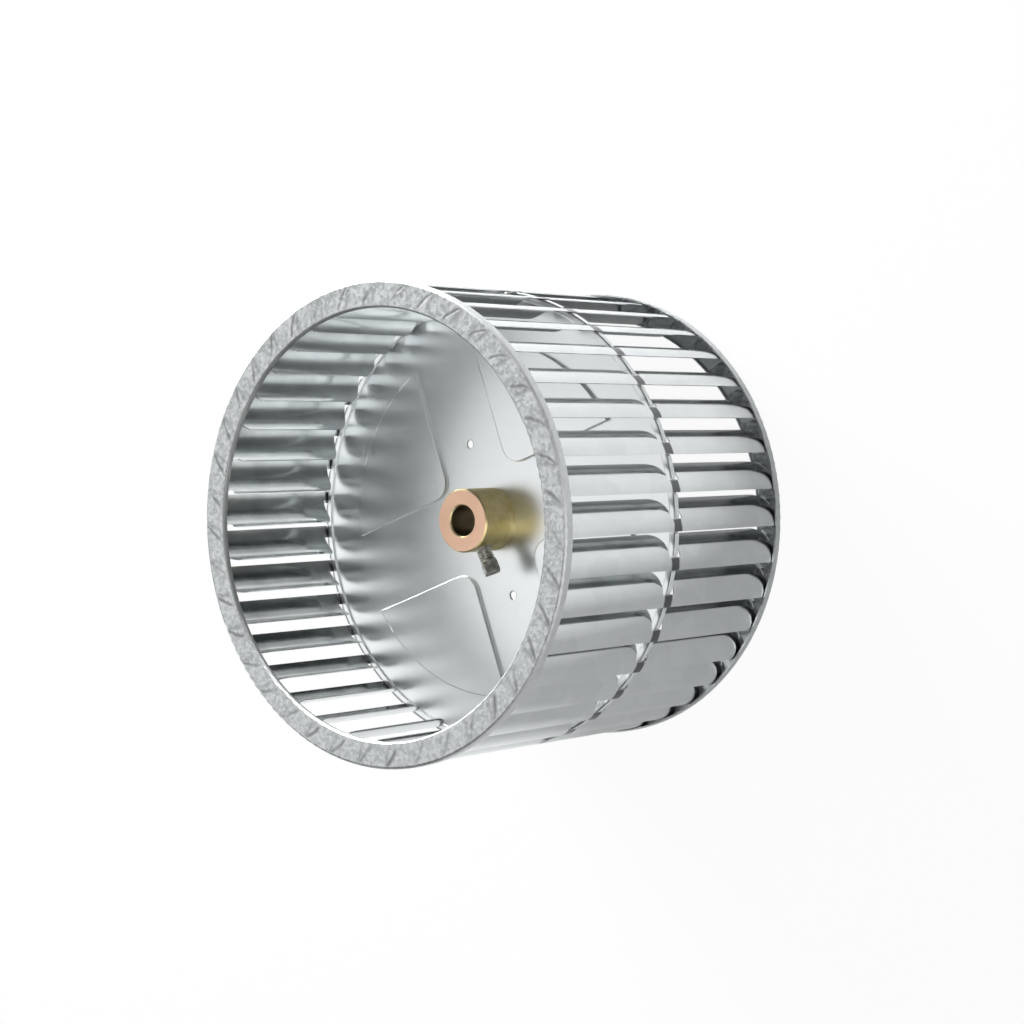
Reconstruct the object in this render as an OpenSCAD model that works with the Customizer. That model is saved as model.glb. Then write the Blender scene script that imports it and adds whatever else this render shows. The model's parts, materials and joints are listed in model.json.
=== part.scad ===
// Double-inlet blower wheel: forward-curved sheet blades between two rolled
// end rings, carried at mid width by a pressed centre disc with a turned hub.
// The wheel stands on its rear ring. +Z is the shaft axis and points out of
// the inlet on the hub side; the origin is the wheel's centre on that axis.

/* [Wheel] */
// Outside diameter over the end rings
wheel_d = 241.3; // [200:0.1:300]
// Width over both end rings
wheel_w = 181; // [120:0.5:240]

/* [End rings] */
// Radial width of the flat face of an end ring
ring_face_w = 13.5; // [10:0.1:18]
// Sheet thickness of the end rings
ring_t = 0.8; // [0.5:0.05:1.2]
// Depth of the outer rolled edge, along the axis
ring_lip_h = 5.2; // [3:0.1:8]
// Depth of the inner rolled edge, along the axis
ring_hem_h = 2.6; // [1.5:0.1:4]
// Outside bend radius of both rolled edges
ring_bend_r = 1.4; // [1.3:0.1:2]

/* [Blades] */
// Number of blades
blade_count = 39; // [34:1:46]
// Angle from the set screw to the tip of the first blade
blade_turn = 4.7; // [0:0.1:9]
// Sheet thickness of a blade
blade_t = 0.5; // [0.3:0.05:0.8]
// Radial distance from the blade tip to its root
blade_depth = 10.4; // [8:0.1:12]
// Angle by which the tip leads the root in the direction of rotation
blade_lean = 8.2; // [5:0.1:10]
// Height of the blade's curve over its chord
blade_sag = 3.5; // [2:0.1:4.5]
// Width of the notch that takes the rim of the disc
notch_w = 9; // [6:0.1:14]
// Metal left outside the notch, measured inward from the tip
spine_h = 0.8; // [0.5:0.05:1.4]
// Radius of the rounded corners at the root of a blade
corner_r = 8; // [4:0.1:9]
// Radial depth cut from the root of a blade inside the end rings
end_cut = 5; // [3:0.1:7]
// Angle of the free edge of the folded end tab, from the tip
tab_angle = 1.2; // [0:0.1:3]

/* [Centre disc] */
// Sheet thickness of the disc
disc_t = 1.2; // [0.8:0.1:2]
// Width of the folded rim, along the axis
rim_w = 3; // [2:0.1:5]
// Radial depth of the folded rim
rim_h = 3.6; // [2:0.1:6]
// Height of the rim teeth over the spine pockets
tooth_h = 0.7; // [0.3:0.05:1]
// Angle taken by one spine pocket
pocket_angle = 3.8; // [3:0.1:5]
// Angle by which a pocket starts before its spine
pocket_lead = 0.2; // [0:0.05:0.6]
// Outer radius of the four raised panels
panel_r = 92.7; // [70:0.1:100]
// Width of the flat cross between the panels
cross_w = 43; // [30:0.5:60]
// Height of the raised panels
panel_h = 2; // [1:0.1:4]
// Radius of the panel corners beside the hub
panel_corner_r = 10; // [4:0.5:16]
// Turn of the cross about the shaft, from the set screw
cross_turn = -8; // [-45:1:45]
// Diameter of the two locating holes
locating_d = 4.5; // [3:0.1:7]
// Radius on which the locating holes lie
locating_r = 41.8; // [36:0.1:60]

/* [Hub] */
// Bore for the shaft, five eighths of an inch
bore_d = 15.875; // [12:0.001:19.1]
// Outside diameter of the hub
hub_d = 33; // [30:0.1:40]
// Length of the hub in front of the disc
hub_l = 23.4; // [18:0.1:40]
// Diameter of the spigot that passes through the disc
spigot_d = 25.4; // [23:0.1:28]
// Diameter of the riveted collar behind the disc
collar_d = 30; // [29:0.1:36]
// Thickness of the riveted collar
collar_h = 2.2; // [1:0.1:4]
// Chamfer on the edges of the hub
hub_chamfer = 0.8; // [0.3:0.1:1.5]

/* [Set screw] */
// Thread diameter, five sixteenths of an inch
screw_d = 7.94; // [5:0.01:10]
// Length of the shank under the head
screw_l = 15.9; // [12:0.1:25]
// Distance from the hub's front face to the screw's axis
screw_setback = 7.6; // [6.5:0.1:12]
// Width across the flats of the square head
head_w = 7.94; // [6:0.01:12]
// Height of the square head
head_h = 6; // [4:0.1:8]
// Radius of the round face left on top of the head by its chamfer
head_face_r = 4.9; // [4:0.1:6]
// Length of the taper at the screw's point
point_taper = 1; // [0.5:0.1:2]
// Radius of the cup in the screw's point
cup_r = 2; // [1:0.1:3]
// Depth of the screw's cup point
cup_h = 0.9; // [0.3:0.1:1.5]

/* [Clearances] */
// Blade tips to the rolled edge of a ring
tip_gap = 0.4; // [0.2:0.05:1]
// Folded end tabs to the inner rolled edge
tab_gap = 0.4; // [0.2:0.05:1]
// Blade spines to the rim of the disc
spine_gap = 0.3; // [0.15:0.05:0.6]
// Spigot in the disc, on the radius
spigot_gap = 0.05; // [0.02:0.01:0.2]
// Set screw in its tapped hole, on the radius
thread_gap = 0.05; // [0.02:0.01:0.1]
// Point of the set screw back from the bore
point_gap = 0.4; // [0.1:0.1:1.5]

/* [Hidden] */
$fn = 128;
arc_fn = 96;
round_fn = 64;
bend_fn = 32;
blade_names = [for (i = [1:blade_count]) str("blade_", i < 10 ? "0" : "", i)];

wheel_r = wheel_d / 2;
ring_in_r = wheel_r - ring_face_w;
ring_cavity_r = ring_in_r + ring_t;
blade_pitch = 360 / blade_count;

// Arc of the blade, in the frame of a blade whose tip lies on +X
blade_out_r = wheel_r - ring_t - tip_gap;
tip_r = blade_out_r - blade_t / 2;
root_r = tip_r - blade_depth;
tip = [tip_r, 0];
root = root_r * [cos(blade_lean), sin(blade_lean)];
chord = norm(root - tip);
along = (root - tip) / chord;
outward = [along.y, -along.x];
arc_r = (chord * chord / 4 + blade_sag * blade_sag) / (2 * blade_sag);
arc_mid = (tip + root) / 2;
arc_centre = arc_mid - (arc_r - blade_sag) * outward;
tip_angle = atan2(tip.y - arc_centre.y, tip.x - arc_centre.x);
root_angle = atan2(root.y - arc_centre.y, root.x - arc_centre.x);

blade_end = wheel_w / 2 - ring_t;
notch_x = tip_r - spine_h;
tab_in_r = ring_cavity_r + tab_gap;

pocket_r = notch_x - spine_gap;
rim_r = pocket_r + tooth_h;
pocket_start = -blade_t / 2 / tip_r * 180 / PI - pocket_lead;

seat_z = disc_t / 2;
hub_front = seat_z + hub_l;
screw_z = hub_front - screw_setback;
bore_r = bore_d / 2;
point_x = bore_r + point_gap;
over = 1;

function ray(angle, length) = length * [cos(angle), sin(angle)];

// Channel section of an end ring, x outward and y away from the face
module rolled_section(x0, x1, depth, bend) {
    translate([x0, bend]) square([x1 - x0, depth - bend]);
    translate([x0 + bend, 0]) square([x1 - x0 - 2 * bend, depth]);
    translate([x0 + bend, bend]) circle(bend, $fn = bend_fn);
    translate([x1 - bend, bend]) circle(bend, $fn = bend_fn);
}

module ring_section() {
    difference() {
        rolled_section(ring_in_r, wheel_r, ring_lip_h, ring_bend_r);
        translate([0, ring_t])
            rolled_section(ring_cavity_r, wheel_r - ring_t, ring_lip_h, ring_bend_r - ring_t);
        translate([ring_in_r - over, ring_hem_h])
            square([ring_t + 2 * over, ring_lip_h]);
    }
}

module end_ring() {
    translate([0, 0, wheel_w / 2]) mirror([0, 0, 1])
        rotate_extrude($fn = 4 * blade_count) ring_section();
}

module front_ring() {
    color("gainsboro") end_ring();
}

module rear_ring() {
    color("lightgray") mirror([0, 0, 1]) end_ring();
}

// Curved section of a blade, its tip on +X and its root a lean angle round from it
module blade_section() {
    intersection() {
        translate(arc_centre) difference() {
            circle(arc_r + blade_t / 2, $fn = arc_fn);
            circle(arc_r - blade_t / 2, $fn = arc_fn);
        }
        translate(arc_centre) polygon([
            [0, 0],
            ray(tip_angle, 2 * arc_r),
            ray((tip_angle + root_angle) / 2, 2 * arc_r),
            ray(root_angle, 2 * arc_r)
        ]);
    }
}

// Flat tab folded off the blade's end, between its curve and a straight edge
module tab_section() {
    intersection() {
        translate(arc_centre) circle(arc_r, $fn = arc_fn);
        polygon([tip, ray(tab_angle, tab_in_r), root, arc_mid + 2 * blade_sag * outward]);
        difference() {
            circle(tip_r);
            circle(tab_in_r);
        }
    }
}

// Corner piece that rounds the root of a blade, x outward and y along the axis
module root_corner() {
    difference() {
        translate([-over, -over]) square(corner_r + over);
        translate([corner_r, corner_r]) circle(corner_r, $fn = round_fn);
    }
}

// Outline cut from a blade at mid width, x outward and y along the axis
module notch_outline() {
    translate([root.x - over, -notch_w / 2]) square([notch_x - root.x + over, notch_w]);
    for (side = [0, 1]) mirror([0, side])
        translate([root.x, notch_w / 2]) root_corner();
}

// Outline cut from a blade where its root meets an end ring
module end_outline() {
    edge = wheel_w / 2 - ring_lip_h;
    translate([root.x - over, edge]) square([end_cut + over, ring_lip_h]);
    translate([root.x, edge]) mirror([0, 1]) root_corner();
}

// Turns an outline in x and z into a cut across one blade
module cut_across() {
    translate([0, 2 * chord, 0]) rotate([90, 0, 0]) linear_extrude(3 * chord) children();
}

module blade_sheet() {
    difference() {
        translate([0, 0, -blade_end]) linear_extrude(2 * blade_end) blade_section();
        cut_across() notch_outline();
        for (side = [0, 1]) mirror([0, 0, side]) cut_across() end_outline();
    }
}

module blade(index) {
    color("silver") rotate(blade_turn + index * blade_pitch) {
        blade_sheet();
        for (side = [0, 1]) mirror([0, 0, side])
            translate([0, 0, blade_end - blade_t]) linear_extrude(blade_t) tab_section();
    }
}

// One raised panel of the disc, drawn in by an inset from its edge
module panel_section(inset) {
    near = cross_w / 2 + inset;
    bend = panel_corner_r - inset;
    intersection() {
        circle(panel_r - inset);
        union() {
            translate([near + bend, near]) square(panel_r);
            translate([near, near + bend]) square(panel_r);
            translate([near + bend, near + bend]) circle(bend, $fn = round_fn);
        }
    }
}

module rim_pockets() {
    width = pocket_angle / 180 * PI * pocket_r;
    for (i = [0:blade_count - 1])
        rotate(blade_turn + i * blade_pitch + pocket_start)
            translate([pocket_r, 0, -rim_w]) cube([tooth_h + over, width, 2 * rim_w]);
}

module centre_disc() {
    color("darkgray") difference() {
        union() {
            cylinder(h = disc_t, r = rim_r - rim_h / 2, center = true);
            difference() {
                cylinder(h = rim_w, r = rim_r, center = true);
                cylinder(h = rim_w + over, r = rim_r - rim_h, center = true);
            }
            for (quarter = [0:3]) rotate(cross_turn + 90 * quarter)
                translate([0, 0, -disc_t / 2])
                    linear_extrude(disc_t + panel_h) panel_section(0);
        }
        for (quarter = [0:3]) rotate(cross_turn + 90 * quarter)
            translate([0, 0, -disc_t / 2 - over])
                linear_extrude(panel_h + over) panel_section(disc_t);
        cylinder(h = 2 * over + disc_t, d = spigot_d + 2 * spigot_gap, center = true);
        for (side = [0, 180]) rotate(cross_turn + side)
            translate([locating_r, 0, 0])
                cylinder(h = 2 * over + disc_t, d = locating_d, center = true, $fn = bend_fn);
        rim_pockets();
    }
}

module hub() {
    color("burlywood") difference() {
        union() {
            translate([0, 0, seat_z]) cylinder(h = hub_l - hub_chamfer, d = hub_d);
            translate([0, 0, hub_front - hub_chamfer])
                cylinder(h = hub_chamfer, d1 = hub_d, d2 = hub_d - 2 * hub_chamfer);
            translate([0, 0, -seat_z]) cylinder(h = disc_t, d = spigot_d);
            translate([0, 0, -seat_z - collar_h / 2]) cylinder(h = collar_h / 2, d = collar_d);
            translate([0, 0, -seat_z - collar_h])
                cylinder(h = collar_h / 2, d1 = collar_d - collar_h, d2 = collar_d);
        }
        translate([0, 0, -seat_z - collar_h - over])
            cylinder(h = hub_l + disc_t + collar_h + 2 * over, d = bore_d);
        translate([0, 0, hub_front - hub_chamfer])
            cylinder(h = 2 * hub_chamfer, d1 = bore_d, d2 = bore_d + 4 * hub_chamfer);
        translate([0, 0, screw_z]) rotate([0, 90, 0])
            cylinder(h = hub_d, d = screw_d + 2 * thread_gap, $fn = round_fn);
    }
}

// Square head, a corner up, its top corners turned off at 45 degrees
module screw_head() {
    intersection() {
        rotate(45) translate([-head_w / 2, -head_w / 2, 0]) cube([head_w, head_w, head_h]);
        cylinder(h = head_h, r1 = head_face_r + head_h, r2 = head_face_r, $fn = round_fn);
    }
}

// Square-head cup-point screw along +X, its point just short of the bore
module set_screw() {
    screw_r = screw_d / 2;
    color("dimgray") translate([point_x, 0, screw_z]) rotate([0, 90, 0]) difference() {
        union() {
            cylinder(h = point_taper, r1 = screw_r - point_taper, r2 = screw_r, $fn = round_fn);
            translate([0, 0, point_taper])
                cylinder(h = screw_l - point_taper, r = screw_r, $fn = round_fn);
            translate([0, 0, screw_l]) screw_head();
        }
        translate([0, 0, -over])
            cylinder(h = cup_h + over, r1 = cup_r * (1 + over / cup_h), r2 = 0, $fn = bend_fn);
    }
}

front_ring();
rear_ring();
centre_disc();
hub();
set_screw();
for (i = [1:blade_count])
    blade(i - 1);
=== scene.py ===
"""Looks of a double-inlet blower wheel: camera, studio, finishes and the threaded set screw."""

import json
import logging
import math
from dataclasses import dataclass, field

import bmesh
import bpy
from mathutils import Matrix, Vector

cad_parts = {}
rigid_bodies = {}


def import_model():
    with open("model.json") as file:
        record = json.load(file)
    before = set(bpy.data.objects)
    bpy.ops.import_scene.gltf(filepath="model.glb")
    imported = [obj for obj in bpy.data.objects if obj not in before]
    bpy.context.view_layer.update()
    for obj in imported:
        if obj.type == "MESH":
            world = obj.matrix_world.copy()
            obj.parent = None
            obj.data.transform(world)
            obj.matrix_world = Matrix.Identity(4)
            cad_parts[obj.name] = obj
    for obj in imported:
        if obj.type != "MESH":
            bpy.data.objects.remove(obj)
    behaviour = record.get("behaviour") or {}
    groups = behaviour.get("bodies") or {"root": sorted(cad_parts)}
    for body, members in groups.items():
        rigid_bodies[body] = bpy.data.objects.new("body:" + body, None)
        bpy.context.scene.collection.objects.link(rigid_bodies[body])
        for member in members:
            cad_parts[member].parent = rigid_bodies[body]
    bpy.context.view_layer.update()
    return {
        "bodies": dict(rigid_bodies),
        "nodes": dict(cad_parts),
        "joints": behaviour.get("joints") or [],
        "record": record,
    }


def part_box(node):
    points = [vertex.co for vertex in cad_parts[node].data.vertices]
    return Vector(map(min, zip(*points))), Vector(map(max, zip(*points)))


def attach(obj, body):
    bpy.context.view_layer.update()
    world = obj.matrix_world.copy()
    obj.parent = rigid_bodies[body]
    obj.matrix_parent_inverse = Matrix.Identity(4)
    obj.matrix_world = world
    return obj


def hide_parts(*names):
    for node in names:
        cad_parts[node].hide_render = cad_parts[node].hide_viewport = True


log = logging.getLogger("blower_wheel")

MM = 0.001
SCREW_BODY = "set_screw"

# One unit of a relief's height, in metres
RELIEF = 0.0001

# Turn of the picture's sideways direction about the shaft, from the set screw
PICTURE_TURN = math.radians(62.86)

# Factors that leave only a place's part across the shaft
ACROSS_SHAFT = (1.0, 1.0, 0.0)

Colour = tuple[float, float, float]
Socket = bpy.types.NodeSocket


def picture_direction(right: float, up: float, front: float) -> Vector:
    """Turns a direction given as it lies in the picture into the row frame.

    Args:
        right: Part across the shaft, towards the picture's right.
        up: Part across the shaft, towards the picture's top.
        front: Part along the shaft, out of the inlet on the hub side.

    Returns:
        The same vector in the row frame.
    """
    return Matrix.Rotation(PICTURE_TURN, 3, "Z") @ Vector((right, up, front))


class Graph:
    """Short calls for building a shader node tree."""

    def __init__(self, tree: bpy.types.NodeTree) -> None:
        """Keeps the tree that the calls build."""
        self.tree = tree

    def node(self, kind: str, **settings: object) -> bpy.types.Node:
        """Adds a node.

        Args:
            kind: Node type, without its ShaderNode prefix.
            **settings: Values for the node's own properties.

        Returns:
            The new node.
        """
        made = self.tree.nodes.new("ShaderNode" + kind)
        for name, value in settings.items():
            setattr(made, name, value)
        return made

    def put(self, socket: Socket, value: object) -> None:
        """Links a socket to an input, or sets the input to a plain value.

        Args:
            socket: The input.
            value: A socket to link, a plain value to set, or None to leave it.
        """
        if isinstance(value, bpy.types.NodeSocket):
            self.tree.links.new(value, socket)
        elif value is not None:
            socket.default_value = value

    def math(self, operation: str, a: object, b: object = None, clamp: bool = False) -> Socket:
        """Adds a Math node.

        Args:
            operation: The Math node's operation.
            a: First value or socket.
            b: Second value or socket, if the operation has one.
            clamp: Whether the result is held between 0 and 1.

        Returns:
            The result's socket.
        """
        made = self.node("Math", operation=operation, use_clamp=clamp)
        self.put(made.inputs[0], a)
        self.put(made.inputs[1], b)
        return made.outputs[0]

    def ramp(self, value: object, low: float, high: float, to_low: float, to_high: float) -> Socket:
        """Maps a value smoothly from one range to another.

        Args:
            value: The value's socket.
            low: Where the first range starts.
            high: Where it ends.
            to_low: What its start becomes.
            to_high: What its end becomes.

        Returns:
            The result's socket.
        """
        made = self.node("MapRange", interpolation_type="SMOOTHSTEP")
        for socket, given in zip(made.inputs, (value, low, high, to_low, to_high)):
            self.put(socket, given)
        return made.outputs[0]

    def mix(self, factor: object, a: object, b: object) -> Socket:
        """Mixes two colours.

        Args:
            factor: Share of the second colour.
            a: First colour, plain or a socket.
            b: Second colour, plain or a socket.

        Returns:
            The result's socket.
        """
        made = self.node("Mix", data_type="RGBA")
        self.put(made.inputs["Factor"], factor)
        self.put(made.inputs[6], paint(a))
        self.put(made.inputs[7], paint(b))
        return made.outputs[2]

    def noise(self, where: object, scale: object, detail: float = 3.0) -> Socket:
        """Adds a Noise Texture.

        Args:
            where: The place's socket.
            scale: Its scale, plain or a socket.
            detail: How many finer layers it has.

        Returns:
            Its value's socket.
        """
        made = self.node("TexNoise")
        self.put(made.inputs["Vector"], where)
        self.put(made.inputs["Scale"], scale)
        made.inputs["Detail"].default_value = detail
        return made.outputs[0]

    def place(self) -> Socket:
        """Gives the point's place in the row frame, in metres."""
        return self.node("TexCoord").outputs["Object"]

    def stretch(self, where: object, by: tuple[float, float, float]) -> Socket:
        """Scales a place by three factors.

        Args:
            where: The place's socket.
            by: The three factors.

        Returns:
            The result's socket.
        """
        made = self.node("VectorMath", operation="MULTIPLY")
        self.put(made.inputs[0], where)
        made.inputs[1].default_value = by
        return made.outputs[0]

    def reach(self) -> Socket:
        """Gives the point's distance from the shaft axis.

        Returns:
            The distance's socket, in metres.
        """
        made = self.node("VectorMath", operation="LENGTH")
        self.put(made.inputs[0], self.stretch(self.place(), ACROSS_SHAFT))
        return made.outputs["Value"]

    def normal(self) -> Socket:
        """Gives the surface's normal in the row frame."""
        return self.node("NewGeometry").outputs["Normal"]

    def along_shaft(self, vector: object) -> Socket:
        """Gives a vector's part along the shaft.

        Args:
            vector: The vector's socket.

        Returns:
            The part's socket.
        """
        made = self.node("SeparateXYZ")
        self.put(made.inputs[0], vector)
        return made.outputs["Z"]

    def dot(self, a: object, b: object) -> Socket:
        """Gives the dot product of two vectors.

        Args:
            a: First vector, plain or a socket.
            b: Second vector, plain or a socket.

        Returns:
            The product's socket.
        """
        made = self.node("VectorMath", operation="DOT_PRODUCT")
        self.put(made.inputs[0], a)
        self.put(made.inputs[1], b)
        return made.outputs["Value"]

    def bump(self, height: object, distance: float) -> Socket:
        """Adds a Bump node for a height.

        Args:
            height: The height's socket.
            distance: Depth of one unit of height, in metres.

        Returns:
            The normal's socket.
        """
        made = self.node("Bump")
        made.inputs["Distance"].default_value = distance
        self.put(made.inputs["Height"], height)
        return made.outputs[0]

    def use(self, group: bpy.types.NodeTree, **values: object) -> bpy.types.Node:
        """Places a node group.

        Args:
            group: The group to place.
            **values: A value or socket for each of its inputs.

        Returns:
            The group's node.
        """
        made = self.node("Group", node_tree=group)
        for name, value in values.items():
            self.put(made.inputs[name], value)
        return made


def paint(value: object) -> object:
    """Gives a plain three-part colour its alpha and leaves sockets as they are."""
    return (*value, 1.0) if isinstance(value, tuple) and len(value) == 3 else value


class Effect:
    """A shader node group that several finishes share."""

    title = ""
    numbers: dict[str, float] = {}
    results: tuple[str, ...] = ()

    def __init__(self) -> None:
        """Builds the group once, with its named inputs and outputs."""
        self.group = bpy.data.node_groups.new(self.title, "ShaderNodeTree")
        for name, value in self.numbers.items():
            made = self.group.interface.new_socket(name, in_out="INPUT", socket_type="NodeSocketFloat")
            made.default_value = value
        for name in self.results:
            self.group.interface.new_socket(name, in_out="OUTPUT", socket_type="NodeSocketFloat")
        graph = Graph(self.group)
        given = self.group.nodes.new("NodeGroupInput")
        out = self.group.nodes.new("NodeGroupOutput")
        for name, socket in self.draw(graph, given).items():
            graph.put(out.inputs[name], socket)

    def draw(self, graph: Graph, given: bpy.types.Node) -> dict[str, Socket]:
        """Draws the effect.

        Args:
            graph: The group's tree.
            given: The group's input node.

        Returns:
            A socket for each named output.
        """
        raise NotImplementedError


class ZincSpangle(Effect):
    """Frosty patches of a hot-dip zinc coat."""

    title = "zinc spangle"
    numbers = {"Patch": 260.0, "Speckle": 900.0}
    results = ("Shade", "Height")
    patch_share = 0.55

    def draw(self, graph: Graph, given: bpy.types.Node) -> dict[str, Socket]:
        """Mixes crystal patches with a fine speckle.

        Args:
            graph: The group's tree.
            given: The group's input node.

        Returns:
            The pattern's shade and the speckle's height.
        """
        where = graph.place()
        cells = graph.node("TexVoronoi")
        graph.put(cells.inputs["Vector"], where)
        graph.put(cells.inputs["Scale"], given.outputs["Patch"])
        grey = graph.node("RGBToBW")
        graph.put(grey.inputs[0], cells.outputs["Color"])
        fine = graph.noise(where, given.outputs["Speckle"], 2.0)
        patches = graph.math("MULTIPLY", grey.outputs[0], self.patch_share)
        speckle = graph.math("MULTIPLY", fine, 1.0 - self.patch_share)
        shade = graph.math("ADD", patches, speckle)
        return {"Shade": shade, "Height": fine}


class HandlingHaze(Effect):
    """Wide dull smears left by hands and oil."""

    title = "handling haze"
    numbers = {"Scale": 18.0, "Cover": 0.5}
    results = ("Mask",)

    def draw(self, graph: Graph, given: bpy.types.Node) -> dict[str, Socket]:
        """Spreads a wide noise about the cover wanted, softly enough to leave no edge.

        Args:
            graph: The group's tree.
            given: The group's input node.

        Returns:
            The haze's mask.
        """
        cloud = graph.noise(graph.place(), given.outputs["Scale"], 2.0)
        edge = graph.math("SUBTRACT", 1.0, given.outputs["Cover"])
        over = graph.math("SUBTRACT", cloud, graph.math("MULTIPLY", edge, 0.4))
        return {"Mask": graph.math("MULTIPLY", over, 1.6, clamp=True)}


class EdgeLight(Effect):
    """A mask on the edges, where the coat is rubbed bright."""

    title = "rubbed edges"
    numbers = {"Radius": 0.0006}
    results = ("Mask",)

    def draw(self, graph: Graph, given: bpy.types.Node) -> dict[str, Socket]:
        """Compares the true normal with one rounded over the edges.

        Args:
            graph: The group's tree.
            given: The group's input node.

        Returns:
            The edges' mask.
        """
        rounded = graph.node("Bevel", samples=4)
        graph.put(rounded.inputs["Radius"], given.outputs["Radius"])
        turned = graph.dot(rounded.outputs[0], graph.normal())
        return {"Mask": graph.ramp(turned, 0.995, 0.85, 0.0, 1.0)}


class TurningLines(Effect):
    """Fine rings left by a lathe, round the shaft axis."""

    title = "turning lines"
    numbers = {"Pitch": 0.0006}
    results = ("Height",)

    def draw(self, graph: Graph, given: bpy.types.Node) -> dict[str, Socket]:
        """Waves over the distance from the shaft axis and along it.

        Args:
            graph: The group's tree.
            given: The group's input node.

        Returns:
            The lines' height.
        """
        travel = graph.math("ADD", graph.reach(), graph.along_shaft(graph.place()))
        rounds = graph.math("DIVIDE", travel, given.outputs["Pitch"])
        wave = graph.math("SINE", graph.math("MULTIPLY", rounds, math.tau))
        return {"Height": graph.math("MULTIPLY", wave, 0.5)}


class BladePrints(Effect):
    """Marks that the folded blade tabs press through an end ring, two arms to a blade."""

    title = "blade prints"
    numbers = {
        "Count": 39.0,
        "Outer": 0.1195,
        "Inner": 0.1075,
        "Phase": 2.6,
        "Sweep": 5.2,
        "Opening": 3.6,
        "Line": 0.5,
    }
    results = ("Mask",)
    second_arm = 0.55
    wobble_degrees = 1.3

    def draw(self, graph: Graph, given: bpy.types.Node) -> dict[str, Socket]:
        """Draws two slanting lines in each blade's share of the ring.

        Args:
            graph: The group's tree.
            given: The group's input node.

        Returns:
            The marks' mask.
        """
        where = graph.place()
        split = graph.node("SeparateXYZ")
        graph.put(split.inputs[0], where)
        width = graph.math("SUBTRACT", given.outputs["Outer"], given.outputs["Inner"])
        depth = graph.math("SUBTRACT", given.outputs["Outer"], graph.reach())
        inward = graph.math("DIVIDE", depth, width)
        turn = graph.math("ARCTAN2", split.outputs["Y"], split.outputs["X"])
        degrees = graph.math("MULTIPLY", turn, 180.0 / math.pi)
        wobble = graph.math("SUBTRACT", graph.noise(where, 160.0, 2.0), 0.5)
        degrees = graph.math("ADD", degrees, graph.math("MULTIPLY", wobble, self.wobble_degrees))
        pitch = graph.math("DIVIDE", 360.0, given.outputs["Count"])
        fade = graph.math("MULTIPLY", given.outputs["Line"], 2.0)
        lines = []
        for arm in (0.0, 1.0):
            opened = graph.math("MULTIPLY", given.outputs["Opening"], arm)
            lean = graph.math("SUBTRACT", given.outputs["Sweep"], opened)
            bow = graph.math("POWER", graph.math("MAXIMUM", inward, 0.0), 0.75)
            start = graph.math("ADD", given.outputs["Phase"], graph.math("MULTIPLY", lean, bow))
            off = graph.math("DIVIDE", graph.math("SUBTRACT", degrees, start), pitch)
            share = graph.math("SUBTRACT", off, graph.math("ROUND", off))
            miss = graph.math("MULTIPLY", graph.math("ABSOLUTE", share), pitch)
            lines.append(graph.ramp(miss, 0.0, fade, 1.0, 0.0))
        both = graph.math("MAXIMUM", lines[0], graph.math("MULTIPLY", lines[1], self.second_arm))
        patch = graph.ramp(graph.noise(where, 55.0, 2.0), 0.34, 0.58, 0.4, 1.0)
        faded = graph.math("MULTIPLY", both, patch)
        begun = graph.ramp(inward, -0.02, 0.1, 0.0, 1.0)
        ended = graph.ramp(inward, 0.65, 0.95, 1.0, 0.0)
        inside = graph.math("MULTIPLY", begun, ended)
        return {"Mask": graph.math("MULTIPLY", faded, inside)}


@dataclass
class EffectShelf:
    """The shared effects, each built once."""

    spangle: ZincSpangle = field(default_factory=ZincSpangle)
    haze: HandlingHaze = field(default_factory=HandlingHaze)
    edges: EdgeLight = field(default_factory=EdgeLight)
    turning: TurningLines = field(default_factory=TurningLines)
    prints: BladePrints = field(default_factory=BladePrints)


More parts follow.
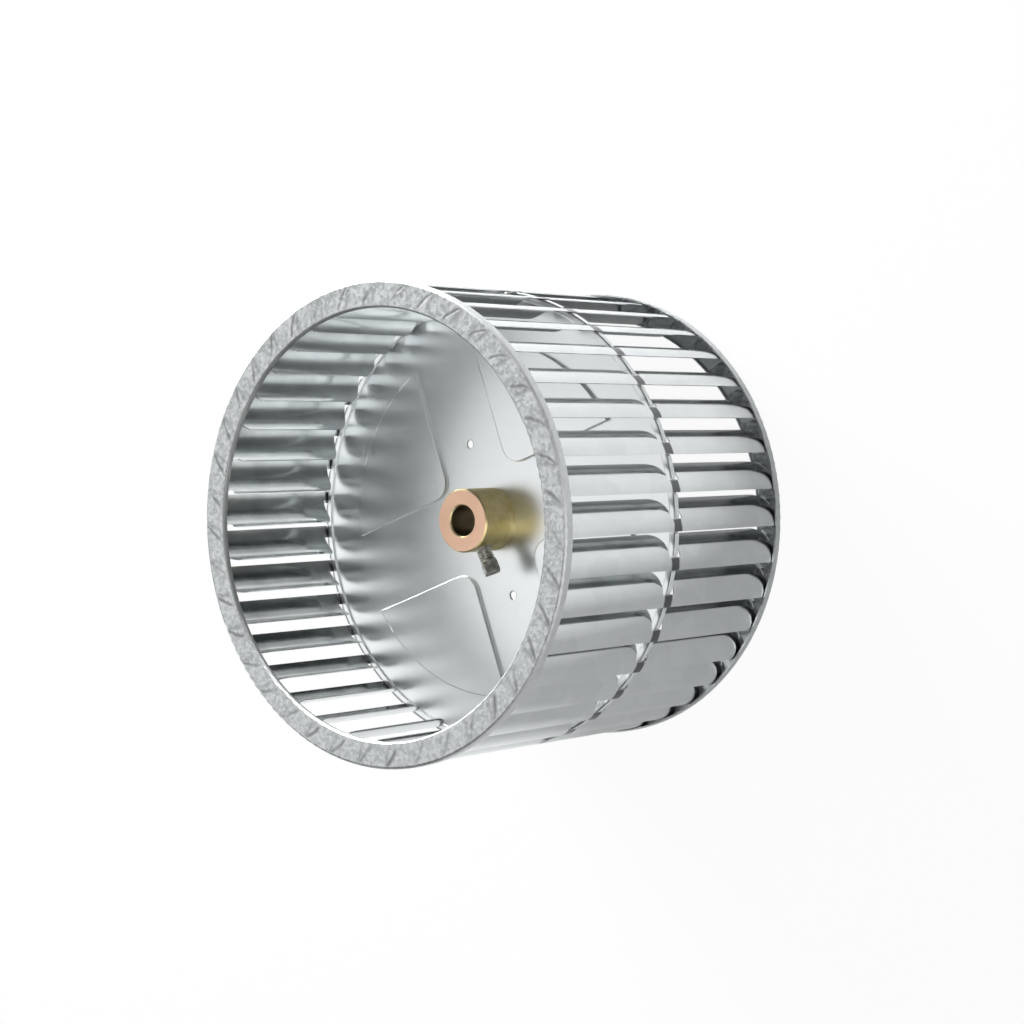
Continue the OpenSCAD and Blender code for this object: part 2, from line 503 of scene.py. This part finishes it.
@dataclass(frozen=True)
class ZincSheet:
    """Galvanised sheet.

    Attributes:
        name: The material's name.
        pale: The coat's lighter grey.
        deep: The coat's darker grey.
        smooth: Its lowest roughness.
        rough: Its highest roughness.
        patch: Scale of the coat's crystal patches.
        speckle: Scale of its fine speckle.
        mottle: How much of the pattern shows, from 0 to 1.
        pitted: Depth of its relief, in metres.
        rolled: Scale of the rolling lines, or 0 for none.
        printed: Whether the blade tabs mark it.
        shaded_rim_from: Distance from the shaft beyond which it is darkened as painted shade, or 0.
        seam_shadow_half: Half the width of the painted shadow band along the seam, or 0.
        inner_shade: Strength of the painted shade on faces turned to the shaft.
        inner_shade_reach: Distances from the shaft between which that painted shade grows.
        bent: Roughness of its bends, or 0 if they are as the rest.
        upright: Share of the bends' look on faces that run along the shaft.
        bend_highlight_tone: Colour of its bends, paler than the sheet as a painted highlight.
        rounded: Radius that the light rounds pressed steps by, or 0 for the relief.
        haze_scale: Scale of the broad haze in its roughness.
        worn_radius: Width of the light wear on its edges.
        worn_tone: Colour of that wear.
        print_tone: Colour of the tabs' marks.
        print_depth: Depth of those marks, in units of RELIEF.
        seam_shadow_tone: Colour of the painted shadow band along the seam.
        shaded_rim_tone: Colour of that painted shade at the rim.
        inner_shade_tone: Colour of the painted shade on faces turned to the shaft.
        soft_edge: Width of the fade beside the seam band and the dull part.
    """

    name: str
    pale: Colour
    deep: Colour
    smooth: float
    rough: float
    patch: float
    speckle: float
    mottle: float
    pitted: float
    rolled: float = 0.0
    printed: bool = False
    shaded_rim_from: float = 0.0
    seam_shadow_half: float = 0.0
    inner_shade: float = 0.0
    inner_shade_reach: tuple[float, float] = (0.109, 0.117)
    bent: float = 0.0
    upright: float = 0.0
    bend_highlight_tone: Colour = (0.84, 0.87, 0.875)
    rounded: float = 0.0
    haze_scale: float = 16.0
    worn_radius: float = 0.0005
    worn_tone: Colour = (0.93, 0.94, 0.94)
    print_tone: Colour = (0.16, 0.165, 0.17)
    print_depth: float = 1.5
    seam_shadow_tone: Colour = (0.05, 0.055, 0.06)
    shaded_rim_tone: Colour = (0.12, 0.13, 0.135)
    inner_shade_tone: Colour = (0.20, 0.21, 0.21)
    # soft_edge: Width of the fade beside the painted shadow bands at the seam and at the disc's rim.
    soft_edge: float = 0.0012

    def make(self, shelf: EffectShelf) -> bpy.types.Material:
        """Builds the material.

        Args:
            shelf: The shared effects.

        Returns:
            The finished material.
        """
        material, graph, shader = fresh_material(self.name)
        coat = graph.use(shelf.spangle.group, Patch=self.patch, Speckle=self.speckle)
        low, high = 0.5 - 0.5 * self.mottle, 0.5 + 0.5 * self.mottle
        shade = graph.ramp(coat.outputs["Shade"], 0.28, 0.72, low, high)
        marks = graph.use(shelf.prints.group).outputs["Mask"] if self.printed else None
        turned = self.turned(graph) if self.bent else None
        graph.put(shader.inputs["Base Color"], self.colour(graph, shelf, shade, marks, turned))
        graph.put(shader.inputs["Roughness"], self.roughness(graph, shelf, shade, turned))
        graph.put(shader.inputs["Normal"], self.relief(graph, coat.outputs["Height"], marks))
        shader.inputs["Metallic"].default_value = 1.0
        return material

    def colour(
        self,
        graph: Graph,
        shelf: EffectShelf,
        shade: Socket,
        marks: Socket | None,
        turned: Socket | None,
    ) -> Socket:
        """Lays the coat's pattern, marks, painted shade, the bends' painted highlight and wear over each
        other.

        Args:
            graph: The material's tree.
            shelf: The shared effects.
            shade: The coat's pattern, from deep to pale.
            marks: Mask of the tabs' marks, if it has them.
            turned: Mask of the bends, if they have their own paler tone, a painted highlight.

        Returns:
            The colour's socket.
        """
        colour = graph.mix(shade, self.deep, self.pale)
        if self.rolled:
            lines = graph.noise(graph.stretch(graph.place(), (1.0, 1.0, 0.02)), self.rolled, 2.0)
            colour = graph.mix(graph.ramp(lines, 0.35, 0.65, 0.0, 0.22), colour, self.deep)
        if marks is not None:
            colour = graph.mix(graph.math("MULTIPLY", marks, 0.75), colour, self.print_tone)
        # painted shadow: a dark band where the blades' notch over the disc lies in shade
        if self.seam_shadow_half:
            colour = graph.mix(self.seam(graph), colour, self.seam_shadow_tone)
        # painted shade: the disc's rim under the blades' seam is darkened
        if self.shaded_rim_from:
            rim_shade = graph.ramp(graph.reach(), self.shaded_rim_from, self.shaded_rim_from + self.soft_edge, 0.0, 0.8)
            colour = graph.mix(rim_shade, colour, self.shaded_rim_tone)
        worn = graph.use(shelf.edges.group, Radius=self.worn_radius).outputs["Mask"]
        colour = graph.mix(graph.math("MULTIPLY", worn, 0.5), colour, self.worn_tone)
        # painted highlight: the bends get a paler colour
        if turned is not None:
            colour = graph.mix(turned, colour, self.bend_highlight_tone)
        # painted shade: faces turned to the shaft, inside the wheel, are darkened
        if self.inner_shade:
            colour = graph.mix(self.painted_inner_shade(graph), colour, self.inner_shade_tone)
        return colour

    def roughness(
        self, graph: Graph, shelf: EffectShelf, shade: Socket, turned: Socket | None
    ) -> Socket:
        """Spreads the roughness by haze and pattern, and lifts it on the bends.

        Args:
            graph: The material's tree.
            shelf: The shared effects.
            shade: The coat's pattern, from deep to pale.
            turned: Mask of the bends, if they have their own roughness.

        Returns:
            The roughness's socket.
        """
        haze = graph.use(shelf.haze.group, Scale=self.haze_scale).outputs["Mask"]
        spread = graph.math("ADD", graph.math("MULTIPLY", haze, 0.5), graph.math("MULTIPLY", shade, 0.5))
        even = graph.ramp(spread, 0.0, 1.0, self.smooth, self.rough)
        if turned is None:
            return even
        lift = graph.math("MULTIPLY", graph.math("SUBTRACT", self.bent, even), turned)
        return graph.math("ADD", even, lift)

    def relief(self, graph: Graph, coat: Socket, marks: Socket | None) -> Socket:
        """Gives the normal: the coat's relief, or the light rounded over pressed steps.

        Args:
            graph: The material's tree.
            coat: The height of the coat's speckle.
            marks: Mask of the tabs' marks, if it has them.

        Returns:
            The normal's socket.
        """
        if self.rounded:
            bevel = graph.node("Bevel", samples=8)
            bevel.inputs["Radius"].default_value = self.rounded
            return bevel.outputs[0]
        height = graph.math("MULTIPLY", coat, self.pitted / RELIEF)
        if marks is not None:
            height = graph.math("SUBTRACT", height, graph.math("MULTIPLY", marks, self.print_depth))
        return graph.bump(height, RELIEF)

    def turned(self, graph: Graph) -> Socket:
        """Masks the bends and steps that turn away from the sheet's flat faces.

        Args:
            graph: The material's tree.

        Returns:
            The mask's socket.
        """
        level = graph.math("ABSOLUTE", graph.along_shaft(graph.normal()))
        upright = graph.ramp(level, 0.05, 0.3, self.upright, 1.0)
        return graph.math("MULTIPLY", graph.ramp(level, 0.97, 0.7, 0.0, 1.0), upright)

    def painted_inner_shade(self, graph: Graph) -> Socket:
        """Masks the painted shade on faces turned to the shaft, inside the wheel, most of all far from it.

        Args:
            graph: The material's tree.

        Returns:
            The mask's socket.
        """
        outward = graph.node("VectorMath", operation="NORMALIZE")
        graph.put(outward.inputs[0], graph.stretch(graph.place(), ACROSS_SHAFT))
        facing = graph.dot(outward.outputs[0], graph.normal())
        tip = graph.ramp(graph.reach(), *self.inner_shade_reach, 0.6, 1.5)
        patch = graph.ramp(graph.noise(graph.place(), 45.0, 3.0), 0.3, 0.7, 0.75, 1.0)
        facing_in_shade = graph.ramp(facing, -0.1, -0.6, 0.0, self.inner_shade)
        return graph.math("MULTIPLY", graph.math("MULTIPLY", facing_in_shade, patch), tip, clamp=True)

    def seam(self, graph: Graph) -> Socket:
        """Masks the band of painted shadow where the blades pass over the disc, in the notch's shade.

        Args:
            graph: The material's tree.

        Returns:
            The mask's socket.
        """
        wander = graph.math("MULTIPLY", graph.noise(graph.place(), 260.0, 2.0), 1.6 * MM)
        off = graph.math("ADD", graph.math("ABSOLUTE", graph.along_shaft(graph.place())), wander)
        return graph.ramp(off, self.seam_shadow_half, self.seam_shadow_half + self.soft_edge, 0.88, 0.0)


@dataclass(frozen=True)
class TurnedSteel:
    """Turned steel under a yellow zinc coat: a rosy face, an olive body and a bore darkened as painted
    shade.
    """

    name: str = "yellow zinc on turned steel"
    face: Colour = (0.86, 0.56, 0.40)
    body: Colour = (0.66, 0.52, 0.20)
    flush: Colour = (0.92, 0.80, 0.46)
    # painted shade: colour given to the bore where it lies in shade
    bore_shade: Colour = (0.10, 0.06, 0.045)
    bore_r: float = 0.00795
    smooth: float = 0.28
    rough: float = 0.42
    worn_radius: float = 0.0007
    worn_tone: Colour = (0.95, 0.88, 0.74)
    haze_scale: float = 90.0
    line_pitch: float = 0.00055
    line_depth: float = 0.00003

    def make(self, shelf: EffectShelf) -> bpy.types.Material:
        """Builds the material.

        Args:
            shelf: The shared effects.

        Returns:
            The finished material.
        """
        material, graph, shader = fresh_material(self.name)
        flat = graph.ramp(graph.along_shaft(graph.normal()), 0.6, 0.95, 0.0, 1.0)
        cloud = graph.noise(graph.place(), 130.0, 3.0)
        body = graph.mix(graph.ramp(cloud, 0.3, 0.75, 0.0, 0.7), self.body, self.flush)
        colour = graph.mix(flat, body, self.face)
        # painted shade inside the bore
        inside = graph.ramp(graph.reach(), self.bore_r, self.bore_r + 0.2 * MM, 1.0, 0.0)
        colour = graph.mix(graph.math("MULTIPLY", inside, 0.8), colour, self.bore_shade)
        worn = graph.use(shelf.edges.group, Radius=self.worn_radius).outputs["Mask"]
        colour = graph.mix(graph.math("MULTIPLY", worn, 0.55), colour, self.worn_tone)
        graph.put(shader.inputs["Base Color"], colour)
        haze = graph.use(shelf.haze.group, Scale=self.haze_scale).outputs["Mask"]
        graph.put(shader.inputs["Roughness"], graph.ramp(haze, 0.0, 1.0, self.smooth, self.rough))
        lines = graph.use(shelf.turning.group, Pitch=self.line_pitch).outputs["Height"]
        graph.put(shader.inputs["Normal"], graph.bump(lines, self.line_depth))
        shader.inputs["Metallic"].default_value = 1.0
        return material


@dataclass(frozen=True)
class OiledSteel:
    """Plain dark steel of the set screw, rubbed bright on its edges."""

    name: str = "oiled dark steel"
    deep: Colour = (0.30, 0.29, 0.27)
    pale: Colour = (0.66, 0.64, 0.58)
    smooth: float = 0.28
    rough: float = 0.42
    worn_radius: float = 0.0004
    worn_tone: Colour = (0.86, 0.84, 0.76)
    haze_scale: float = 150.0
    cloud_scale: float = 420.0
    cloud_depth: float = 0.00002

    def make(self, shelf: EffectShelf) -> bpy.types.Material:
        """Builds the material.

        Args:
            shelf: The shared effects.

        Returns:
            The finished material.
        """
        material, graph, shader = fresh_material(self.name)
        cloud = graph.noise(graph.place(), self.cloud_scale, 4.0)
        colour = graph.mix(graph.ramp(cloud, 0.35, 0.65, 0.0, 1.0), self.deep, self.pale)
        worn = graph.use(shelf.edges.group, Radius=self.worn_radius).outputs["Mask"]
        colour = graph.mix(graph.math("MULTIPLY", worn, 0.8), colour, self.worn_tone)
        graph.put(shader.inputs["Base Color"], colour)
        haze = graph.use(shelf.haze.group, Scale=self.haze_scale).outputs["Mask"]
        graph.put(shader.inputs["Roughness"], graph.ramp(haze, 0.0, 1.0, self.smooth, self.rough))
        graph.put(shader.inputs["Normal"], graph.bump(cloud, self.cloud_depth))
        shader.inputs["Metallic"].default_value = 1.0
        return material


def fresh_material(name: str) -> tuple[bpy.types.Material, Graph, bpy.types.Node]:
    """Makes an empty material.

    Args:
        name: The material's name.

    Returns:
        The material, its graph and its Principled BSDF.
    """
    material = bpy.data.materials.new(name)
    material.use_nodes = True
    shader = material.node_tree.nodes["Principled BSDF"]
    return material, Graph(material.node_tree), shader


RING_FINISH = ZincSheet(
    name="mottled zinc ring",
    pale=(0.64, 0.66, 0.665),
    deep=(0.42, 0.44, 0.445),
    smooth=0.34,
    rough=0.46,
    patch=620.0,
    speckle=1700.0,
    mottle=1.0,
    pitted=0.00006,
    printed=True,
    inner_shade=1.0,
    bent=0.6,
    # painted shade on the ring's inner lip
    upright=0.7,
    # painted highlight on the ring's bends
    bend_highlight_tone=(0.74, 0.76, 0.765),
)
BLADE_FINISH = ZincSheet(
    name="bright zinc blade",
    pale=(0.82, 0.845, 0.85),
    deep=(0.66, 0.685, 0.69),
    smooth=0.12,
    rough=0.22,
    patch=60.0,
    speckle=200.0,
    mottle=0.3,
    pitted=0.000002,
    rolled=340.0,
    # painted shadow band along the seam
    seam_shadow_half=0.0034,
    # painted shade on the blades' inner faces
    inner_shade=0.58,
)
DISC_FINISH = ZincSheet(
    name="smooth zinc disc",
    pale=(0.87, 0.90, 0.905),
    deep=(0.79, 0.82, 0.825),
    smooth=0.28,
    rough=0.34,
    patch=40.0,
    speckle=90.0,
    mottle=0.0,
    pitted=0.0,
    rolled=180.0,
    # painted shade on the disc's rim
    shaded_rim_from=0.1172,
    bent=0.75,
    upright=1.0,
    bend_highlight_tone=(0.84, 0.87, 0.875),
    rounded=0.0008,
)


@dataclass
class WheelCage:
    """The CAD rings, blades and disc, dressed."""

    rings: tuple[str, ...] = ("front_ring", "rear_ring")
    disc: str = "centre_disc"
    blade_prefix: str = "blade_"

    def dress(self, nodes: dict[str, bpy.types.Object], shelf: EffectShelf) -> None:
        """Gives each CAD node of the cage its finish.

        Args:
            nodes: The CAD nodes by name.
            shelf: The shared effects.
        """
        ring, blade, disc = (f.make(shelf) for f in (RING_FINISH, BLADE_FINISH, DISC_FINISH))
        for name in self.rings:
            dress(nodes[name], ring)
        dress(nodes[self.disc], disc)
        blades = [name for name in nodes if name.startswith(self.blade_prefix)]
        for name in blades:
            dress(nodes[name], blade)
        log.info("cage dressed: %d rings, 1 disc, %d blades", len(self.rings), len(blades))


@dataclass
class ThreadedScrew:
    """The square-head set screw with its real thread, along +X."""

    node: str = "set_screw"
    pitch: float = 1.41 * MM
    depth: float = 0.62 * MM
    shank: float = 15.9 * MM
    shank_r: float = 3.97 * MM
    head_side: float = 7.94 * MM
    face_r: float = 4.9 * MM
    cup_r: float = 2.0 * MM
    cup_depth: float = 0.9 * MM
    taper: float = 1.0 * MM
    around: int = 48
    steps: int = 10
    head_around: int = 96
    head_levels: int = 10
    head_edge: float = 0.25 * MM

    def build(self) -> bpy.types.Object:
        """Builds the screw where its CAD node is.

        Returns:
            The new piece.
        """
        low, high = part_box(self.node)
        start, axis_z = low.x, (low.z + high.z) / 2
        made = bmesh.new()
        rows = []
        count = int(self.shank / self.pitch * self.steps)
        for step in range(count + 1):
            along = self.shank * step / count
            row = []
            for turn in self.turns():
                point = self.place(start + along, self.radius_at(along, turn), turn, axis_z)
                row.append(made.verts.new(point))
            rows.append(row)
        for near, far in zip(rows, rows[1:]):
            for i in range(self.around):
                j = (i + 1) % self.around
                made.faces.new((near[i], near[j], far[j], far[i]))
        rim = [made.verts.new(self.place(start, self.cup_r, turn, axis_z)) for turn in self.turns()]
        tip = made.verts.new((start + self.cup_depth, 0.0, axis_z))
        for i in range(self.around):
            j = (i + 1) % self.around
            made.faces.new((rim[i], rim[j], rows[0][j], rows[0][i]))
            made.faces.new((tip, rim[j], rim[i]))
        made.faces.new(rows[-1])
        mesh = bpy.data.meshes.new("threaded_shank")
        bmesh.ops.recalc_face_normals(made, faces=made.faces)
        made.to_mesh(mesh)
        made.free()
        piece = link_piece("set_screw_threaded", mesh)
        for face in mesh.polygons:
            face.use_smooth = True
        head = self.build_head(start + self.shank, high.x, axis_z)
        head.parent = piece
        return piece

    def turns(self) -> list[float]:
        """Angles of the points round the shank."""
        return [math.tau * i / self.around for i in range(self.around)]

    def radius_at(self, along: float, turn: float) -> float:
        """Gives the threaded shank's radius.

        Args:
            along: Distance from the screw's point.
            turn: Angle round the screw.

        Returns:
            The radius there.
        """
        phase = (along / self.pitch - turn / math.tau) % 1.0
        ridge = abs(2.0 * phase - 1.0)
        cut = min(1.0, max(0.0, 1.25 * ridge - 0.1))
        fade = min(1.0, (self.shank - along) / (1.5 * self.pitch))
        nose = max(0.0, self.taper - along)
        return self.shank_r - self.depth * cut * fade - nose * (1.0 - 0.4 * cut)

    @staticmethod
    def place(along: float, radius: float, turn: float, axis_z: float) -> tuple[float, float, float]:
        """Point at a distance along the screw, a radius and an angle."""
        return (along, radius * math.cos(turn), axis_z + radius * math.sin(turn))

    def build_head(self, start: float, end: float, axis_z: float) -> bpy.types.Object:
        """Builds the square head, its top corners turned off.

        Args:
            start: Where the head begins along +X.
            end: Where it ends.
            axis_z: Height of the screw's axis.

        Returns:
            The head piece.
        """
        half = self.head_side / 2
        made = bmesh.new()
        rows: list[list[bmesh.types.BMVert]] = []
        for level in range(self.head_levels + 1):
            along = start + (end - start) * level / self.head_levels
            limit = self.face_r + (end - along)
            row = []
            for i in range(self.head_around):
                turn = math.tau * i / self.head_around
                square = half / max(abs(math.cos(turn)), abs(math.sin(turn)))
                square = min(square, half * math.sqrt(2.0) - self.head_edge)
                point = self.place(along, min(square, limit), turn + math.pi / 4, axis_z)
                row.append(made.verts.new(point))
            rows.append(row)
        for near, far in zip(rows, rows[1:]):
            for i in range(self.head_around):
                j = (i + 1) % self.head_around
                made.faces.new((near[i], near[j], far[j], far[i]))
        made.faces.new(rows[0])
        made.faces.new(rows[-1])
        bmesh.ops.recalc_face_normals(made, faces=made.faces)
        mesh = bpy.data.meshes.new("square_head")
        made.to_mesh(mesh)
        made.free()
        return link_piece("set_screw_head", mesh)


def link_piece(name: str, mesh: bpy.types.Mesh) -> bpy.types.Object:
    """Puts a mesh in the scene as an object.

    Args:
        name: The object's name.
        mesh: Its mesh.

    Returns:
        The new object.
    """
    piece = bpy.data.objects.new(name, mesh)
    bpy.context.scene.collection.objects.link(piece)
    return piece


def dress(piece: bpy.types.Object, material: bpy.types.Material) -> None:
    """Makes a material the only one of a piece."""
    piece.data.materials.clear()
    piece.data.materials.append(material)


@dataclass
class PictureCamera:
    """The camera of the picture, fitted to the wheel's outline."""

    wheel_r: float = 0.12065
    swing: float = 0.6919
    tilt: float = 0.0300
    face_centre: tuple[float, float, float] = (-0.5647, -0.0540, -9.4587)
    face_height: float = 0.75
    lens: float = 81.4
    sensor: float = 36.0

    def build(self) -> None:
        """Makes the scene's camera."""
        data = bpy.data.cameras.new("picture_camera")
        data.lens, data.sensor_width = self.lens, self.sensor
        data.clip_start, data.clip_end = 0.05, 50.0
        camera = bpy.data.objects.new("picture_camera", data)
        bpy.context.scene.collection.objects.link(camera)
        camera.matrix_world = self.pose()
        bpy.context.scene.camera = camera
        log.info("camera at %s", [round(v, 3) for v in camera.location])

    def pose(self) -> Matrix:
        """Works out the camera's place from the fitted angles.

        Returns:
            The camera's matrix in the row frame.
        """
        level = math.cos(self.tilt)
        shaft = Vector((-math.sin(self.swing) * level, -math.sin(self.tilt), math.cos(self.swing) * level))
        across = Vector((0.0, 1.0, 0.0)).cross(shaft).normalized()
        rise = shaft.cross(across)
        centre = Vector(self.face_centre) - self.face_height * shaft
        spot = Vector((-across.dot(centre), -rise.dot(centre), -shaft.dot(centre))) * self.wheel_r
        turn = Matrix((across, rise, shaft)).to_4x4()
        frame = Matrix.Rotation(PICTURE_TURN, 4, "Z")
        return frame @ Matrix.Translation(spot) @ turn


@dataclass
class Studio:
    """Pale floor, white surround and soft lamps.

    Attributes:
        floor_z: The floor's height, a hair below the wheel.
        floor_r: Its radius.
        floor_tone: Its colour under the lamps.
        shown: How much of it is plain white to the camera.
        mirrored: How much of the white background metal mirrors.
        key: Power of the main lamp, at the picture's upper left, in watts.
        fill: Power of the lamp at its left, in front.
        over: Power of the lamp nearly in line with the shaft.
        side: Power of the lamp at its lower right, in front.
    """

    floor_z: float = -0.0908
    floor_r: float = 4.0
    floor_tone: Colour = (0.86, 0.865, 0.87)
    shown: float = 0.94
    mirrored: float = 0.12
    key: float = 68.0
    fill: float = 3.5
    over: float = 2.8
    side: float = 7.2

    def build(self) -> None:
        """Builds the floor, the surround and the lamps."""
        self.build_floor()
        self.build_world()
        self.lamp("key", (-0.70, 0.68, 0.22), 1.5, 0.85, self.key)
        self.lamp("fill", (-0.67, -0.17, 0.72), 1.6, 1.05, self.fill)
        self.lamp("over", (0.05, 0.10, 0.99), 1.5, 1.2, self.over)
        self.lamp("side", (0.68, -0.40, 0.61), 1.5, 0.85, self.side)
        bpy.context.scene.view_settings.view_transform = "Standard"

    def build_floor(self) -> None:
        """Makes the floor that the wheel stands on, white to the camera."""
        made = bmesh.new()
        bmesh.ops.create_circle(made, cap_ends=True, segments=96, radius=self.floor_r)
        mesh = bpy.data.meshes.new("floor")
        made.to_mesh(mesh)
        made.free()
        floor = link_piece("floor", mesh)
        floor.location.z = self.floor_z
        material = bpy.data.materials.new("pale floor")
        material.use_nodes = True
        graph = Graph(material.node_tree)
        material.node_tree.nodes.clear()
        plain = graph.node("BsdfDiffuse")
        plain.inputs["Color"].default_value = paint(self.floor_tone)
        white = graph.node("Emission")
        path = graph.node("LightPath")
        both = graph.node("MixShader")
        graph.put(both.inputs[0], self.white_share(graph, path, self.shown))
        graph.put(both.inputs[1], plain.outputs[0])
        graph.put(both.inputs[2], white.outputs[0])
        out = graph.node("OutputMaterial")
        graph.put(out.inputs["Surface"], both.outputs[0])
        dress(floor, material)

    def white_share(self, graph: Graph, path: bpy.types.Node, shown: float) -> Socket:
        """Gives how much of the white background a ray sees.

        Args:
            graph: The material's or world's tree.
            path: Its Light Path node.
            shown: The share for the camera and for rays through glass.

        Returns:
            The share's socket.
        """
        seen = graph.math("MAXIMUM", path.outputs["Is Camera Ray"], path.outputs["Is Transmission Ray"])
        glossy = graph.math("MULTIPLY", path.outputs["Is Glossy Ray"], self.mirrored)
        return graph.math("ADD", graph.math("MULTIPLY", seen, shown), glossy, clamp=True)

    def build_world(self) -> None:
        """Makes the surround: white to the camera, a soft falling light to the wheel."""
        world = bpy.data.worlds.new("studio")
        bpy.context.scene.world = world
        world.use_nodes = True
        graph = Graph(world.node_tree)
        world.node_tree.nodes.clear()
        upward = picture_direction(0.1, 0.9, 0.2).normalized()
        height = graph.dot(graph.node("TexCoord").outputs["Generated"], upward)
        level = graph.ramp(height, -0.6, 0.8, 0.05, 0.12)
        path = graph.node("LightPath")
        shade = graph.node("Background")
        graph.put(shade.inputs["Strength"], level)
        white = graph.node("Background")
        both = graph.node("MixShader")
        graph.put(both.inputs[0], self.white_share(graph, path, 1.0))
        graph.put(both.inputs[1], shade.outputs[0])
        graph.put(both.inputs[2], white.outputs[0])
        for background in (shade, white):
            background.inputs["Color"].default_value = paint((1.0, 1.0, 1.0))
        out = graph.node("OutputWorld")
        graph.put(out.inputs["Surface"], both.outputs[0])

    @staticmethod
    def lamp(
        name: str, direction: tuple[float, float, float], distance: float, size: float, power: float
    ) -> None:
        """Adds a soft square lamp that faces the wheel.

        Args:
            name: The lamp's name.
            direction: Where it stands, as it lies in the picture.
            distance: How far from the wheel's centre, in metres.
            size: Length of its side.
            power: Its power in watts.
        """
        data = bpy.data.lights.new(name, "AREA")
        data.size, data.energy = size, power
        lamp = bpy.data.objects.new(name, data)
        bpy.context.scene.collection.objects.link(lamp)
        away = picture_direction(*direction).normalized()
        lamp.location = away * distance
        lamp.rotation_mode = "QUATERNION"
        lamp.rotation_quaternion = (-away).to_track_quat("-Z", "Y")


def main() -> None:
    """Loads the frame, builds the scene's pieces and dresses the CAD nodes."""
    logging.basicConfig(level=logging.INFO, format="%(message)s")
    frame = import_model()
    nodes = frame["nodes"]
    PictureCamera().build()
    Studio().build()
    shelf = EffectShelf()
    WheelCage().dress(nodes, shelf)
    dress(nodes["hub"], TurnedSteel().make(shelf))
    log.info("hub dressed")
    steel = OiledSteel().make(shelf)
    screw = ThreadedScrew().build()
    for piece in (screw, *screw.children):
        dress(piece, steel)
    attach(screw, SCREW_BODY)
    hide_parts("set_screw")
    log.info("set screw built")


if __name__ == "__main__":
    main()
